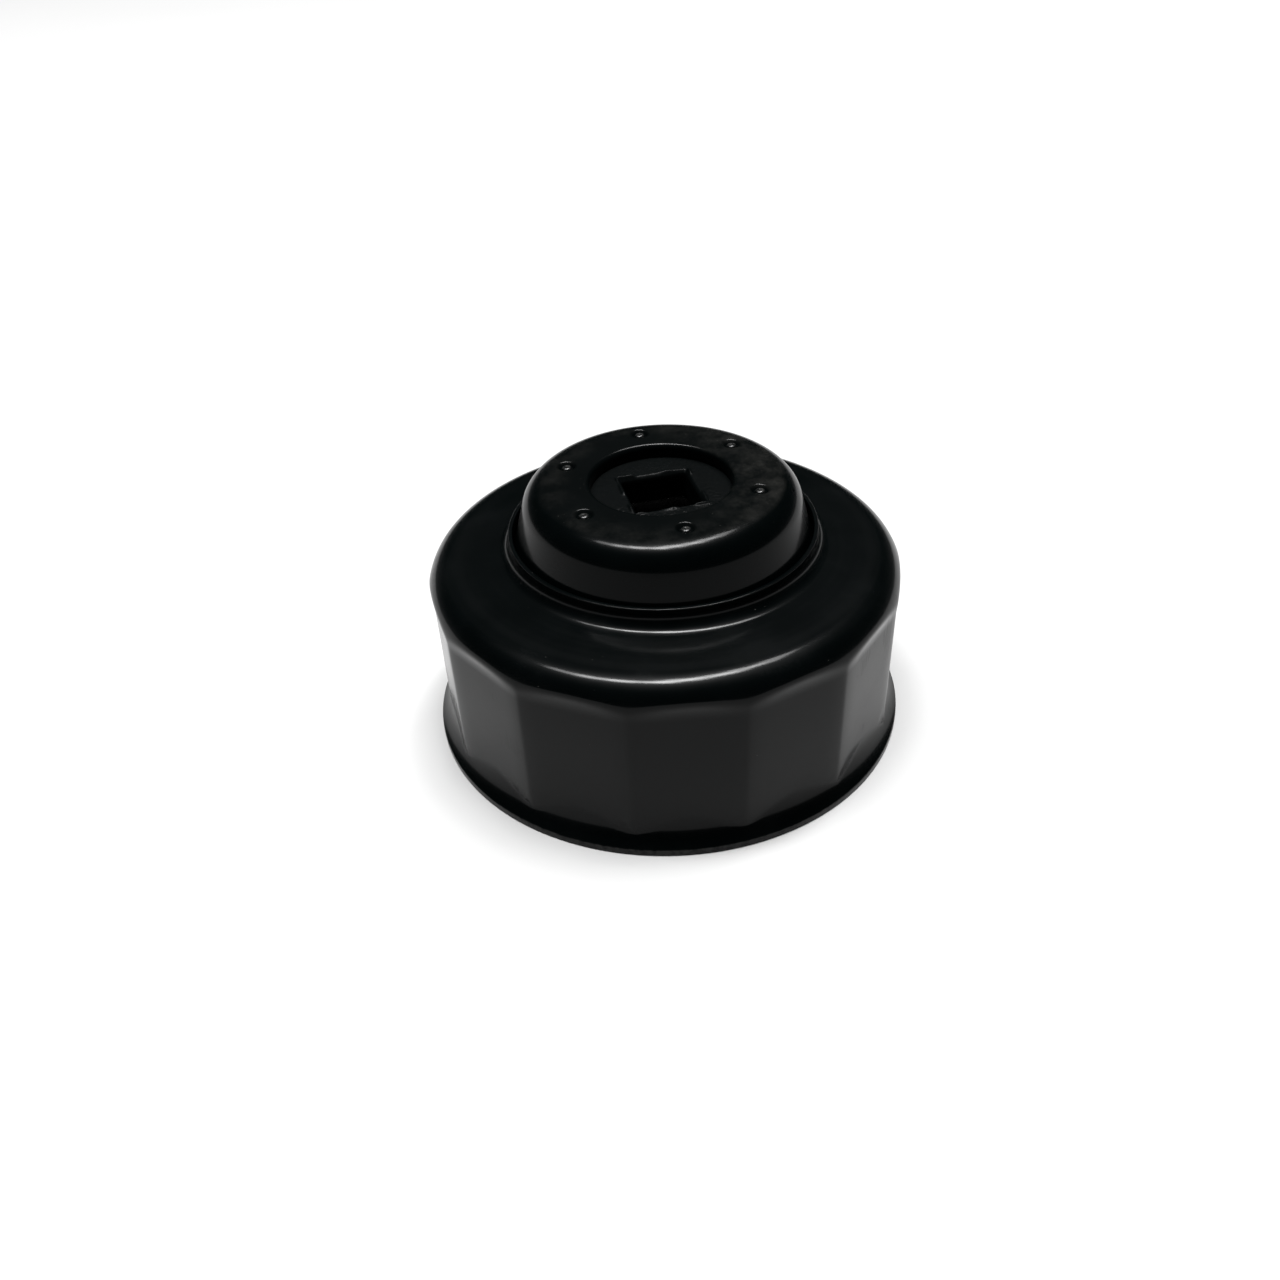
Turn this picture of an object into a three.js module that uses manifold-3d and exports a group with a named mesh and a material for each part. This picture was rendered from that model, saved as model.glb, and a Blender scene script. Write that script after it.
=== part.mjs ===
// Cap-type oil filter wrench: a pressed steel cup with flats that grip the end of a filter canister,
// a deeper crown cap welded up through its middle, and a thick drive plate riveted under the crown,
// with a square hole for a ratchet. Millimetres, +Z up the axis; the origin is the centre of the
// plane that the lip stands on, and the sides of the square hole run along X and Y.
import * as THREE from 'three';
import { mergeVertices } from 'three/addons/utils/BufferGeometryUtils.js';
import Module from 'manifold-3d';

// Cup
const FILTER_ACROSS_FLATS = 65; // size of the filter that the cup grips
const FILTER_CLEARANCE = 0.25; // slip of the filter between two opposite flats
const FLAT_COUNT = 14;
const CUP_SHEET = 1.0;
const SHOULDER_HEIGHT = 27.6; // from the lip's plane to the top of the shoulder's arc
const SHOULDER_FILLET = 4.3;
const LEDGE_SLOPE = 5; // degrees that the ledge falls from the crown to the shoulder
const FLAT_FADE_DROP = 2.1; // from SHOULDER_HEIGHT down to where the flats are gone from the shoulder
const FLAT_FADE_LENGTH = 3.5; // height over which the flats fade into it
const FLARE_RADIUS = 6;
const LIP_OVERHANG = 1.25; // how far the lip stands out past the flats' corners
const LIP_EDGE = 1.0; // height of the lip's cut edge
const LIP_LAND = 0.9; // width of the flat ring that the lip stands on
const FLAT_CORNER_PHASE = 3.0; // degrees from -Y towards +X to the first corner between two flats

// Collar: the rim of the cup's middle hole, drawn upwards around the crown
const COLLAR_RISE = 3.5; // top of the rim above SHOULDER_HEIGHT
const COLLAR_FOOT_FILLET = 2.1;
const COLLAR_SLIP = 0.7; // open ring between the rim and the crown's wall
const COLLAR_RIM_SHEET = 0.65; // drawing the hole open thins the sheet at the rim

// Crown cap
const LEDGE_WIDTH = 13.6; // from the shoulder's outside to the crown's wall at the collar's rim
const CROWN_RISE = 10.6; // top of the crown above SHOULDER_HEIGHT
const CROWN_FILLET = 4.3;
const CROWN_DRAFT = 9; // degrees that the crown's wall leans in towards the top
const CROWN_SHEET = 1.9;
const RECESS_MARGIN = 3.2; // from the square hole's corners to the recess wall
const RECESS_EDGE = 0.8; // rounding of the recess's upper edge

// Drive plate
const DRIVE_SQUARE = 9.65; // female 3/8 inch square
const DRIVE_LEAD_IN = 0.5;
const PLATE_THICKNESS = 4.5;

// Rivets: a thick shank through the plate and a thin tip set into a pit in the crown
const RIVET_COUNT = 6;
const RIVET_PHASE = 88.3; // degrees from +X to the first rivet
const RIVET_INSET = 6.75; // from the crown's wall to the rivet circle
const RIVET_SHANK_RADIUS = 1.6;
const RIVET_TIP_RADIUS = 0.75;
const RIVET_HEAD_RADIUS = 2.6;
const RIVET_HEAD_HEIGHT = 1.0;
const PIT_RADIUS = 1.2;
const PIT_DEPTH = 0.55;
const TIP_BELOW_TOP = 0.1; // the set tip stays this far under the crown's top

// Welds: short beads between the crown's flange and the underside of the ledge
const WELD_COUNT = 6;
const WELD_PHASE = 58.3;
const WELD_SWEEP = 24; // degrees that one bead runs around the axis
const WELD_LEG = 1.4;

// Fits
const SEAT_GAP = 0.25; // paint and forming gap between two parts that touch
const RIVET_HOLE_CLEARANCE = 0.2;

// Fineness of round surfaces
const SEGMENTS_PER_FLAT = 4;
const RIVET_SEGMENTS = 12;
const OUTSIDE_STEPS = 5; // steps of an arc that shows on the outside
const INSIDE_STEPS = 3;
const ROUND_SEGMENTS = FLAT_COUNT * SEGMENTS_PER_FLAT;

// Sizes that follow from the ones above
const radians = THREE.MathUtils.degToRad;
const flatPitch = (2 * Math.PI) / FLAT_COUNT;
const apothem = (FILTER_ACROSS_FLATS + FILTER_CLEARANCE) / 2 + CUP_SHEET;
const shoulderRadius = apothem / Math.cos(flatPitch / 2);
const lipRadius = shoulderRadius + LIP_OVERHANG;
const flareCentreRadius = apothem + FLARE_RADIUS;
const crownRadius = shoulderRadius - LEDGE_WIDTH;
const crownTop = SHOULDER_HEIGHT + CROWN_RISE;
const collarInnerRadius = crownRadius + COLLAR_SLIP;
const collarTop = SHOULDER_HEIGHT + COLLAR_RISE;
const plateTop = crownTop - CROWN_SHEET - SEAT_GAP;
const plateBottom = plateTop - PLATE_THICKNESS;
const recessRadius = DRIVE_SQUARE / Math.SQRT2 + RECESS_MARGIN;
const rivetCircle = crownRadius - RIVET_INSET;

// The ledge is a shallow cone between the shoulder's arc and the arc at the collar's foot.
const ledgeNormal = Math.PI / 2 - radians(LEDGE_SLOPE);
const shoulderCentre = new THREE.Vector2(shoulderRadius - SHOULDER_FILLET, SHOULDER_HEIGHT - SHOULDER_FILLET);
const ledgeEdge = shoulderCentre.clone().add(polar(SHOULDER_FILLET, ledgeNormal));
const footCentreRadius = collarInnerRadius + CUP_SHEET + COLLAR_FOOT_FILLET;
const footTangentRadius = footCentreRadius - COLLAR_FOOT_FILLET * Math.cos(ledgeNormal);
const fadeTop = SHOULDER_HEIGHT - FLAT_FADE_DROP;
const fadeBottom = fadeTop - FLAT_FADE_LENGTH;
const footCentre = new THREE.Vector2(
  footCentreRadius,
  ledgeHeight(footTangentRadius, 0) + COLLAR_FOOT_FILLET * Math.sin(ledgeNormal),
);
const flangeRadius = shoulderCentre.x - SEAT_GAP - WELD_LEG;

// The crown's wall is a cone through the collar's rim. A fillet joins it to the top, and a bend joins
// it to a flange that lies a seat gap under the ledge.
const draft = radians(CROWN_DRAFT);
const filletHeight = crownTop - CROWN_FILLET;
const filletInset = CROWN_FILLET + (filletHeight - collarTop) * Math.sin(draft);
const crownTopCentre = new THREE.Vector2(crownRadius - filletInset / Math.cos(draft), filletHeight);
const flangeDepth = CUP_SHEET + SEAT_GAP;
const bendRadius = COLLAR_FOOT_FILLET + flangeDepth;
const bendCentre = crownBendCentre();
const plateEdgeRadius = CROWN_FILLET - CROWN_SHEET - SEAT_GAP;

function polar(radius, angle) {
  return new THREE.Vector2(radius * Math.cos(angle), radius * Math.sin(angle));
}

// Height of the surface that lies `depth` under the ledge's top, at a radius.
function ledgeHeight(radius, depth) {
  const slope = radians(LEDGE_SLOPE);
  return ledgeEdge.y + (ledgeEdge.x - radius) * Math.tan(slope) - depth / Math.cos(slope);
}

// Centre of the arc that touches the cone of the crown's wall and the flange's upper side.
function crownBendCentre() {
  const slope = Math.tan(radians(LEDGE_SLOPE));
  const touch = -bendRadius * Math.cos(ledgeNormal);
  const lift = ledgeHeight(touch, flangeDepth) + bendRadius * Math.sin(ledgeNormal);
  const reach = bendRadius + crownRadius * Math.cos(draft) + (collarTop - lift) * Math.sin(draft);
  const radius = reach / (Math.cos(draft) - Math.sin(draft) * slope);
  return new THREE.Vector2(radius, lift - radius * slope);
}

// Points of an arc around a centre, from one angle to the other, both ends included.
function arc(centre, radius, from, to, steps) {
  const points = [];
  for (let i = 0; i <= steps; i++) {
    points.push(polar(radius, from + ((to - from) * i) / steps).add(centre));
  }
  return points;
}

function point(radius, height) {
  return new THREE.Vector2(radius, height);
}

// Radius of the lip's flare at a height: a hollow arc that ends at the lip. `inset` is the depth under
// the outer surface, and `low` is the height of the arc's centre.
function flareRadius(height, inset, low) {
  const drop = low - height;
  if (drop <= 0) {
    return 0;
  }
  return flareCentreRadius - Math.sqrt((FLARE_RADIUS + inset) ** 2 - drop ** 2);
}

// Height of a flare arc's centre, so that the arc passes through a given radius and height.
function flareCentreHeight(radius, height, inset) {
  return height + Math.sqrt((FLARE_RADIUS + inset) ** 2 - (flareCentreRadius - radius) ** 2);
}

const outerFlareTop = flareCentreHeight(lipRadius, LIP_EDGE, 0);
const innerFlareTop = flareCentreHeight(lipRadius - LIP_LAND, 0, CUP_SHEET);

// Radius of the skirt, `inset` under its outer surface: flats that fade out towards the shoulder,
// and the flare that overrides them near the lip.
function skirtRadius(height, angle, inset, flareTop) {
  const fade = THREE.MathUtils.clamp((height - fadeBottom) / FLAT_FADE_LENGTH, 0, 1);
  const reach = apothem + (shoulderRadius - apothem) * fade ** 2;
  const fromCorner = THREE.MathUtils.euclideanModulo(angle - radians(FLAT_CORNER_PHASE), flatPitch);
  const flat = reach / Math.cos(fromCorner - flatPitch / 2) - inset / Math.cos(fromCorner - flatPitch / 2);
  const drop = Math.max(0, height - shoulderCentre.y);
  const fillet = SHOULDER_FILLET - inset;
  const round = shoulderCentre.x + Math.sqrt(Math.max(0, fillet ** 2 - drop ** 2));
  return Math.max(Math.min(flat, round), flareRadius(height, inset, flareTop));
}

// A profile of radius and height turned around Z. The seam starts at a corner between two flats.
function turned(profile, segments = ROUND_SEGMENTS) {
  const geometry = new THREE.LatheGeometry(profile, segments, radians(FLAT_CORNER_PHASE));
  return geometry.rotateX(Math.PI / 2);
}

// Moves the skirt's points of a turned solid onto the flats and the flare.
function pressFlats(geometry, inset, flareTop) {
  const place = geometry.attributes.position;
  for (let i = 0; i < place.count; i++) {
    const x = place.getX(i);
    const y = place.getY(i);
    const height = place.getZ(i);
    const inSkirt = height > 0.01 && height < fadeTop && Math.hypot(x, y) > shoulderCentre.x;
    const isLipEdge = inset === 0 && height <= LIP_EDGE;
    if (inSkirt && !isLipEdge) {
      const angle = Math.atan2(x, -y);
      const radius = skirtRadius(height, angle, inset, flareTop);
      place.setXYZ(i, radius * Math.sin(angle), -radius * Math.cos(angle), height);
    }
  }
  return geometry;
}

const wasm = await Module();
wasm.setup();

function solid(geometry) {
  geometry.deleteAttribute('normal');
  geometry.deleteAttribute('uv');
  const merged = mergeVertices(geometry, 1e-5);
  const kept = [];
  const index = merged.index.array;
  for (let i = 0; i < index.length; i += 3) {
    const [a, b, c] = [index[i], index[i + 1], index[i + 2]];
    if (a !== b && b !== c && c !== a) {
      kept.push(a, b, c);
    }
  }
  return new wasm.Manifold(new wasm.Mesh({
    numProp: 3,
    vertProperties: merged.attributes.position.array,
    triVerts: Uint32Array.from(kept),
  }));
}

function toGeometry(manifold) {
  const mesh = manifold.getMesh();
  const geometry = new THREE.BufferGeometry();
  geometry.setAttribute('position', new THREE.BufferAttribute(mesh.vertProperties, 3));
  geometry.setIndex(new THREE.BufferAttribute(mesh.triVerts, 1));
  return geometry;
}

// Heights from one end to the other, both included.
function heights(from, to, steps) {
  return Array.from({ length: steps + 1 }, (_, i) => from + ((to - from) * i) / steps);
}

// Round blank of the skirt, one point for each height; pressFlats gives each its true radius.
function skirtPoints(inset, flareTop, lowest, steps) {
  const stops = [
    ...heights(lowest, flareTop, steps),
    ...heights(fadeBottom, fadeTop, steps).slice(0, -1),
  ];
  return stops.map((height) => point(shoulderRadius - inset, height));
}

// Shoulder, ledge and collar foot, `inset` under the outer surface.
function shoulderPoints(inset, steps) {
  const fillet = SHOULDER_FILLET - inset;
  const start = Math.asin(Math.min(1, (fadeTop - shoulderCentre.y) / fillet));
  return [
    ...arc(shoulderCentre, fillet, start, ledgeNormal, steps),
    ...arc(footCentre, COLLAR_FOOT_FILLET + inset, Math.PI + ledgeNormal, Math.PI, steps),
  ];
}

function cupShell() {
  const outside = [
    point(0, 0),
    point(lipRadius, 0),
    point(lipRadius, LIP_EDGE),
    ...skirtPoints(0, outerFlareTop, LIP_EDGE + 0.5, OUTSIDE_STEPS),
    ...shoulderPoints(0, OUTSIDE_STEPS),
    point(collarInnerRadius + COLLAR_RIM_SHEET, collarTop),
    point(0, collarTop),
  ];
  const below = -1;
  const mouth = lipRadius - LIP_LAND;
  const inside = [
    point(0, below),
    point(mouth, below),
    point(mouth, 0),
    ...skirtPoints(CUP_SHEET, innerFlareTop, LIP_EDGE, INSIDE_STEPS),
    ...shoulderPoints(CUP_SHEET, INSIDE_STEPS),
    point(collarInnerRadius, collarTop + 1),
    point(0, collarTop + 1),
  ];
  const body = solid(pressFlats(turned(outside), 0, outerFlareTop));
  const hollow = solid(pressFlats(turned(inside), CUP_SHEET, innerFlareTop));
  return body.subtract(hollow);
}

// A round pin or hole along Z between two heights, at a place in the plan.
function post(radius, low, high, x, y) {
  const geometry = new THREE.CylinderGeometry(radius, radius, high - low, RIVET_SEGMENTS);
  return solid(geometry.rotateX(Math.PI / 2).translate(x, y, (low + high) / 2));
}

function rivetPlaces() {
  return Array.from({ length: RIVET_COUNT }, (_, i) => {
    const angle = radians(RIVET_PHASE) + (2 * Math.PI * i) / RIVET_COUNT;
    return polar(rivetCircle, angle);
  });
}

function crownCap() {
  const edgeCentre = point(recessRadius + RECESS_EDGE, crownTop - RECESS_EDGE);
  const profile = [
    point(recessRadius, crownTop - CROWN_SHEET),
    ...arc(crownTopCentre, CROWN_FILLET - CROWN_SHEET, Math.PI / 2, draft, INSIDE_STEPS),
    ...arc(bendCentre, bendRadius + CROWN_SHEET, Math.PI + draft, Math.PI + ledgeNormal, INSIDE_STEPS),
    point(flangeRadius, ledgeHeight(flangeRadius, flangeDepth + CROWN_SHEET)),
    point(flangeRadius, ledgeHeight(flangeRadius, flangeDepth)),
    ...arc(bendCentre, bendRadius, Math.PI + ledgeNormal, Math.PI + draft, INSIDE_STEPS),
    ...arc(crownTopCentre, CROWN_FILLET, draft, Math.PI / 2, OUTSIDE_STEPS),
    ...arc(edgeCentre, RECESS_EDGE, Math.PI / 2, Math.PI, 2),
  ];
  profile.push(profile[0].clone());
  let cap = solid(turned(profile));
  for (const { x, y } of rivetPlaces()) {
    cap = cap.subtract(post(PIT_RADIUS, crownTop - PIT_DEPTH, crownTop + 1, x, y));
    cap = cap.subtract(post(RIVET_TIP_RADIUS + RIVET_HOLE_CLEARANCE, plateTop, crownTop, x, y));
  }
  return cap;
}

function drivePlate() {
  const profile = [
    point(0, plateBottom),
    point(crownTopCentre.x + plateEdgeRadius, plateBottom),
    ...arc(crownTopCentre, plateEdgeRadius, 0, Math.PI / 2, INSIDE_STEPS),
    point(0, plateTop),
  ];
  const square = new THREE.BoxGeometry(DRIVE_SQUARE, DRIVE_SQUARE, PLATE_THICKNESS + 2);
  square.translate(0, 0, (plateTop + plateBottom) / 2);
  const rise = 1; // the lead-in's cutter goes on this far above the plate, at 45 degrees
  const narrow = DRIVE_SQUARE / Math.SQRT2;
  const wide = (DRIVE_SQUARE + 2 * (DRIVE_LEAD_IN + rise)) / Math.SQRT2;
  const leadIn = new THREE.CylinderGeometry(wide, narrow, DRIVE_LEAD_IN + rise, 4);
  leadIn.rotateY(Math.PI / 4).rotateX(Math.PI / 2);
  leadIn.translate(0, 0, plateTop + (rise - DRIVE_LEAD_IN) / 2);
  let plate = solid(turned(profile)).subtract(solid(square)).subtract(solid(leadIn));
  for (const { x, y } of rivetPlaces()) {
    const hole = RIVET_SHANK_RADIUS + RIVET_HOLE_CLEARANCE;
    plate = plate.subtract(post(hole, plateBottom - 1, plateTop + 1, x, y));
  }
  return plate;
}

// One rivet on the Z axis: domed head under the plate, shank in the plate, tip through the crown.
function rivet() {
  const seat = plateBottom - SEAT_GAP;
  const tipTop = crownTop - TIP_BELOW_TOP;
  const domeRise = RIVET_TIP_RADIUS / 2;
  const head = heights(0, Math.PI / 2, 4).map((angle) => point(
    RIVET_HEAD_RADIUS * Math.sin(angle), seat - RIVET_HEAD_HEIGHT * Math.cos(angle)));
  const dome = heights(0, Math.PI / 2, 3).map((angle) => point(
    RIVET_TIP_RADIUS * Math.cos(angle), tipTop - domeRise + domeRise * Math.sin(angle)));
  dome[dome.length - 1].x = 0;
  const profile = [
    ...head,
    point(RIVET_SHANK_RADIUS, seat),
    point(RIVET_SHANK_RADIUS, plateTop),
    point(RIVET_TIP_RADIUS, plateTop),
    ...dome,
  ];
  return solid(turned(profile, RIVET_SEGMENTS));
}

// One weld bead: a sector of a ring with a quarter-round section, centred on the +X axis.
function weldBead() {
  const inner = flangeRadius + SEAT_GAP;
  const root = point(inner, ledgeHeight(inner, flangeDepth));
  const ring = [
    point(inner, root.y - WELD_LEG),
    point(inner + WELD_LEG * 0.6, root.y - WELD_LEG * 0.75),
    point(inner + WELD_LEG, ledgeHeight(inner + WELD_LEG, flangeDepth)),
    root,
  ];
  ring.push(ring[0].clone());
  const reach = 2 * shoulderRadius;
  const half = radians(WELD_SWEEP / 2);
  const sector = new THREE.Shape([
    point(0, 0),
    polar(reach, -half),
    polar(reach, half),
  ]);
  const wedge = new THREE.ExtrudeGeometry(sector, { depth: crownTop, bevelEnabled: false });
  return solid(turned(ring)).intersect(solid(wedge));
}

const blackEnamel = { color: 0x0b0c0d, roughness: 0.16, metalness: 0.0 };
const finishes = {
  cup: new THREE.MeshStandardMaterial(blackEnamel),
  crown: new THREE.MeshStandardMaterial({ ...blackEnamel, roughness: 0.2 }),
  plate: new THREE.MeshStandardMaterial({ ...blackEnamel, roughness: 0.35 }),
  rivets: new THREE.MeshStandardMaterial({ ...blackEnamel, roughness: 0.25 }),
  welds: new THREE.MeshStandardMaterial({ ...blackEnamel, roughness: 0.45 }),
};

function part(name, manifold, finish) {
  const mesh = new THREE.Mesh(toGeometry(manifold), finish);
  mesh.name = name;
  return mesh;
}

const wrench = new THREE.Group();
wrench.add(part('cup_shell', cupShell(), finishes.cup));
wrench.add(part('crown_cap', crownCap(), finishes.crown));
wrench.add(part('drive_plate', drivePlate(), finishes.plate));

rivetPlaces().forEach(({ x, y }, i) => {
  const mesh = part(`rivet_${i + 1}`, rivet(), finishes.rivets);
  mesh.position.set(x, y, 0);
  wrench.add(mesh);
});

for (let i = 0; i < WELD_COUNT; i++) {
  const mesh = part(`flange_weld_${i + 1}`, weldBead(), finishes.welds);
  mesh.rotation.z = radians(WELD_PHASE) + (2 * Math.PI * i) / WELD_COUNT;
  wrench.add(mesh);
}

export default wrench;
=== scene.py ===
import math
import random

import bpy
from mathutils import Matrix, Vector, noise


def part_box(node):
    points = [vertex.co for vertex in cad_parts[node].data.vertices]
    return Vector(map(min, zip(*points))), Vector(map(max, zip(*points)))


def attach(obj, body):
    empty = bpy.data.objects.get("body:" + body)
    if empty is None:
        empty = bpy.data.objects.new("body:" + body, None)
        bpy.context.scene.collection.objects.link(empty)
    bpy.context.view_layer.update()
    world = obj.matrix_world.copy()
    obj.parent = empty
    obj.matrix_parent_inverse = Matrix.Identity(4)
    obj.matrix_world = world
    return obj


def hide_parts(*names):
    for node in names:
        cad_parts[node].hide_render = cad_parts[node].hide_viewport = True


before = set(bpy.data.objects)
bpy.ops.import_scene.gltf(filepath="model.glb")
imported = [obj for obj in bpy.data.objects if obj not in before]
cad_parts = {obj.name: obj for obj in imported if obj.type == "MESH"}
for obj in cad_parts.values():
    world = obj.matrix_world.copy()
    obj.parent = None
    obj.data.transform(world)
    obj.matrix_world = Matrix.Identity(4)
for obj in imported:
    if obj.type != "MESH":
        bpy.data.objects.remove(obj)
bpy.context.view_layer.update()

MM = 0.001

# Sizes of the wrench. The outer sizes of its pieces are read from the frame below.
FLAT_COUNT = 14
PITCH = 2 * math.pi / FLAT_COUNT
CORNER_PHASE = math.radians(3.0 - 90)
SHEET = 1.0 * MM
APOTHEM = 33.625 * MM
SHOULDER_HEIGHT = 27.6 * MM
SHOULDER_FILLET = 4.3 * MM
LEDGE_SLOPE = math.radians(5)
FADE_TOP = SHOULDER_HEIGHT - 2.1 * MM
FADE_BOTTOM = FADE_TOP - 3.5 * MM
CORNER_ROUND = 1.6 * MM
FLARE_ROUND = 6.0 * MM
SOFT_EDGE = 0.5 * MM
LIP_EDGE = 1.0 * MM
LIP_LAND = 0.9 * MM
SEAT_GAP = 0.25 * MM
COLLAR_SLIP = 0.7 * MM
FOOT_FILLET = 2.1 * MM
RIM_SHEET = 0.6 * MM
COLLAR_FOOT = 2.0 * MM
COLLAR_LEAN = math.radians(1)
LEDGE_WIDTH = 13.6 * MM
CROWN_FILLET = 4.3 * MM
CROWN_DRAFT = math.radians(15)
CROWN_SHEET = 1.9 * MM
RECESS_MARGIN = 3.2 * MM
RECESS_EDGE = 0.8 * MM
SQUARE = 9.65 * MM
LEAD_IN = 0.5 * MM
SQUARE_CORNER = 0.35 * MM
BURR_HEIGHT = 0.34 * MM
RIVET_COUNT = 6
RIVET_PHASE = math.radians(88.3)
RIVET_INSET = 6.75 * MM
PIT_RADIUS = 1.2 * MM
PIT_DEPTH = 0.55 * MM
PIT_EDGE = (PIT_RADIUS - 0.42 * MM, PIT_RADIUS + 0.32 * MM)
TIP_RADIUS = 0.75 * MM
TIP_DOME = 0.38 * MM
TIP_DROP = 0.1 * MM
SHANK_RADIUS = 1.6 * MM
HEAD_RADIUS = 2.6 * MM
HEAD_HEIGHT = 1.0 * MM
WELD_COUNT = 6
WELD_PHASE = math.radians(58.3)
WELD_SWEEP = math.radians(24)
WELD_LEG = 1.4 * MM
WELD_RIPPLES = 13
SWAY = 0.02 * MM

LIP_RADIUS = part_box("cup_shell")[1].x
CROWN_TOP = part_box("crown_cap")[1].z
COLLAR_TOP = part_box("cup_shell")[1].z
PLATE_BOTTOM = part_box("drive_plate")[0].z
PLATE_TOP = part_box("drive_plate")[1].z
PLATE_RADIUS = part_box("drive_plate")[1].x
SHOULDER_RADIUS = APOTHEM / math.cos(PITCH / 2)
CROWN_RADIUS = SHOULDER_RADIUS - LEDGE_WIDTH
RECESS_RADIUS = SQUARE / math.sqrt(2) + RECESS_MARGIN
RIVET_CIRCLE = CROWN_RADIUS - RIVET_INSET
COLLAR_INSIDE = CROWN_RADIUS + COLLAR_SLIP
FLARE_CENTRE = APOTHEM + FLARE_ROUND


# ---------------------------------------------------------------------------- points and curves


def polar(radius, angle):
    return Vector((radius * math.cos(angle), radius * math.sin(angle)))


def arc(centre, radius, start, end, steps):
    """Points of an arc, both ends included."""
    return [Vector(centre) + polar(radius, start + (end - start) * i / steps) for i in range(steps + 1)]


def line(start, end, steps):
    """Points between start and end, both left out."""
    return [Vector(start).lerp(Vector(end), i / steps) for i in range(1, steps)]


def rounded(corner, before, after, radius, steps=4):
    """A small rounding of the corner between the points before and after it."""
    corner = Vector(corner)
    first = corner + (Vector(before) - corner).normalized() * radius
    last = corner + (Vector(after) - corner).normalized() * radius
    points = []
    for i in range(steps + 1):
        t = i / steps
        points.append(first.lerp(corner, t).lerp(corner.lerp(last, t), t))
    return points


def ladder(low, high, steps):
    return [low + (high - low) * i / steps for i in range(steps + 1)]


def smooth_step(low, high, value):
    t = min(1.0, max(0.0, (value - low) / (high - low)))
    return t * t * (3 - 2 * t)


LEDGE_NORMAL = math.pi / 2 - LEDGE_SLOPE
SHOULDER_CENTRE = Vector((SHOULDER_RADIUS - SHOULDER_FILLET, SHOULDER_HEIGHT - SHOULDER_FILLET))
LEDGE_EDGE = SHOULDER_CENTRE + polar(SHOULDER_FILLET, LEDGE_NORMAL)


def ledge_height(radius, depth):
    """Height of the surface that lies depth under the ledge's top."""
    run = LEDGE_EDGE.x - radius
    return LEDGE_EDGE.y + run * math.tan(LEDGE_SLOPE) - depth / math.cos(LEDGE_SLOPE)


FOOT_RADIUS = COLLAR_INSIDE + SHEET + FOOT_FILLET
FOOT_TANGENT = FOOT_RADIUS - FOOT_FILLET * math.cos(LEDGE_NORMAL)
FOOT_CENTRE = Vector((FOOT_RADIUS, ledge_height(FOOT_TANGENT, 0) + FOOT_FILLET * math.sin(LEDGE_NORMAL)))
FLANGE_RADIUS = SHOULDER_CENTRE.x - SEAT_GAP - WELD_LEG
FLANGE_DEPTH = SHEET + SEAT_GAP
BEND = FOOT_FILLET + FLANGE_DEPTH
FILLET_HEIGHT = CROWN_TOP - CROWN_FILLET
FILLET_INSET = CROWN_FILLET + (FILLET_HEIGHT - COLLAR_TOP) * math.sin(CROWN_DRAFT)
CROWN_CENTRE = Vector((CROWN_RADIUS - FILLET_INSET / math.cos(CROWN_DRAFT), FILLET_HEIGHT))


def bend_centre(wall, lean, radius, depth):
    """Centre of the arc that touches a leaning wall through a point, and the line depth under the ledge."""
    slope = math.tan(LEDGE_SLOPE)
    touch = -radius * math.cos(LEDGE_NORMAL)
    lift = ledge_height(touch, depth) + radius * math.sin(LEDGE_NORMAL)
    reach = radius + wall.x * math.cos(lean) + (wall.y - lift) * math.sin(lean)
    place = reach / (math.cos(lean) - math.sin(lean) * slope)
    return Vector((place, lift - place * slope))


BEND_CENTRE = bend_centre(Vector((CROWN_RADIUS, COLLAR_TOP)), CROWN_DRAFT, BEND, FLANGE_DEPTH)
RIM_OUT = Vector((COLLAR_INSIDE + RIM_SHEET, COLLAR_TOP))
COLLAR_CENTRE = bend_centre(RIM_OUT, COLLAR_LEAN, COLLAR_FOOT, 0)


# ---------------------------------------------------------------------------- the skirt's form


def flare_centre_height(radius, height, inset):
    return height + math.sqrt((FLARE_ROUND + inset) ** 2 - (FLARE_CENTRE - radius) ** 2)


OUTER_FLARE_TOP = flare_centre_height(LIP_RADIUS, LIP_EDGE, 0)
INNER_FLARE_TOP = flare_centre_height(LIP_RADIUS - LIP_LAND, 0, SHEET)


def flat_radius(reach, angle):
    """Radius of a regular polygon with rounded corners, in a direction."""
    from_corner = (angle - CORNER_PHASE) % PITCH
    off = min(from_corner, PITCH - from_corner)
    centre = (reach - CORNER_ROUND) / math.cos(PITCH / 2)
    side = CORNER_ROUND * math.sin(PITCH / 2)
    tangent = math.atan2(side, centre + CORNER_ROUND * math.cos(PITCH / 2))
    if off >= tangent:
        return reach / math.cos(PITCH / 2 - off)
    return centre * math.cos(off) + math.sqrt(CORNER_ROUND ** 2 - (centre * math.sin(off)) ** 2)


def skirt_radius(height, angle, inset):
    """Radius of the skirt, inset under its outer surface: flats, flare at the lip, round at the top."""
    fade = min(1.0, max(0.0, (height - FADE_BOTTOM) / (FADE_TOP - FADE_BOTTOM))) ** 2
    reach = APOTHEM + (SHOULDER_RADIUS - APOTHEM) * fade
    flat = flat_radius(reach, angle) - inset
    drop = max(0.0, height - SHOULDER_CENTRE.y)
    fillet = SHOULDER_FILLET - inset
    full_round = SHOULDER_CENTRE.x + math.sqrt(max(0.0, fillet ** 2 - drop ** 2))
    gap = flat - full_round
    blend = max(0.0, 1 - abs(gap) / SOFT_EDGE)
    radius = min(flat, full_round) - blend ** 2 * SOFT_EDGE / 4
    low = INNER_FLARE_TOP if inset > 0 else OUTER_FLARE_TOP
    fall = low - height
    if fall > 0:
        flare = FLARE_CENTRE - math.sqrt((FLARE_ROUND + inset) ** 2 - fall ** 2)
        radius = max(radius, flare)
    return radius


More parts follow.
